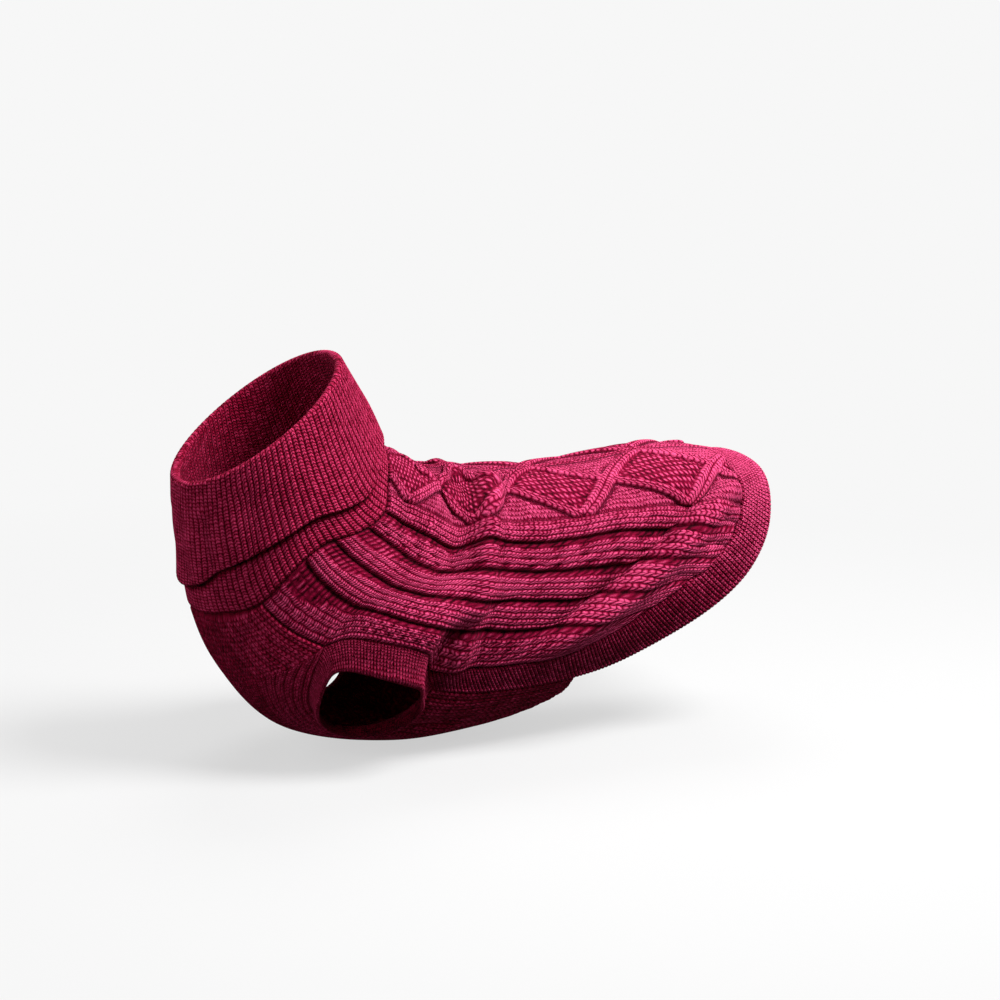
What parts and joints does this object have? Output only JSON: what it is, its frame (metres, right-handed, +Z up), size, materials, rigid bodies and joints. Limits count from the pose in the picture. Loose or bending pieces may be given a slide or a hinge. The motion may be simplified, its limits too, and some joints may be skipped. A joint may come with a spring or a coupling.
{
  "type": "dog sweater",
  "caption": "Cable-knit sweater for a long, low dog: folded polo collar, short sleeve openings with ribbed cuffs, ribbed hem that rises to a cut-away belly.",
  "frame": {"origin": "the point on the inside of the back, over the wearer's withers, from which the worn garment hangs", "axes": "-Y toward the collar and the wearer's head, +Y toward the rump, +X toward the wearer's left, +Z up"},
  "size_m": [0.1913, 0.4227, 0.2725],
  "materials": {
    "cable_knit_wool": "soft cable knit wool, deep raspberry",
    "plain_knit_wool": "soft plain knit wool, dark raspberry",
    "ribbed_collar_wool": "soft ribbed knit wool, dark raspberry",
    "ribbed_hem_wool": "soft ribbed knit wool, deep raspberry",
    "ribbed_cuff_wool": "soft ribbed knit wool, deep raspberry"
  },
  "bodies": {
    "root": {"back_panel": "cable_knit_wool", "chest_belly_panel": "plain_knit_wool", "collar": "ribbed_collar_wool", "hem_band": "ribbed_hem_wool", "cuff_left": "ribbed_cuff_wool", "cuff_right": "ribbed_cuff_wool"}
  },
  "joints": []
}
